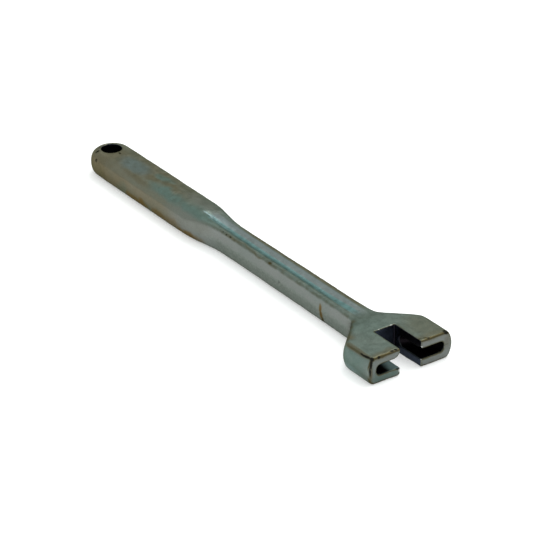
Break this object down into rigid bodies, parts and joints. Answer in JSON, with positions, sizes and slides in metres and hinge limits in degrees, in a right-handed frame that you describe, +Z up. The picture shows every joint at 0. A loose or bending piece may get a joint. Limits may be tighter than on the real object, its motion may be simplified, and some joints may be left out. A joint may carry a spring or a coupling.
{
  "type": "fire hydrant wrench",
  "caption": "One-piece open-jaw hydrant wrench: rounded grip with a hang hole, channelled shank, and a square head with a slot crossed by a T-shaped groove.",
  "frame": {"origin": "centre of the slot's back wall, at half thickness", "axes": "+X along the wrench, out through the mouth of the jaws; +Y across the head; +Z up through the thickness"},
  "size_m": [0.305, 0.0564, 0.0162],
  "materials": {
    "plated_steel": "zinc-plated forged steel with a dull grey-green passivated film, stained brown in patches"
  },
  "bodies": {
    "root": {"wrench_forging": "plated_steel"}
  },
  "joints": []
}
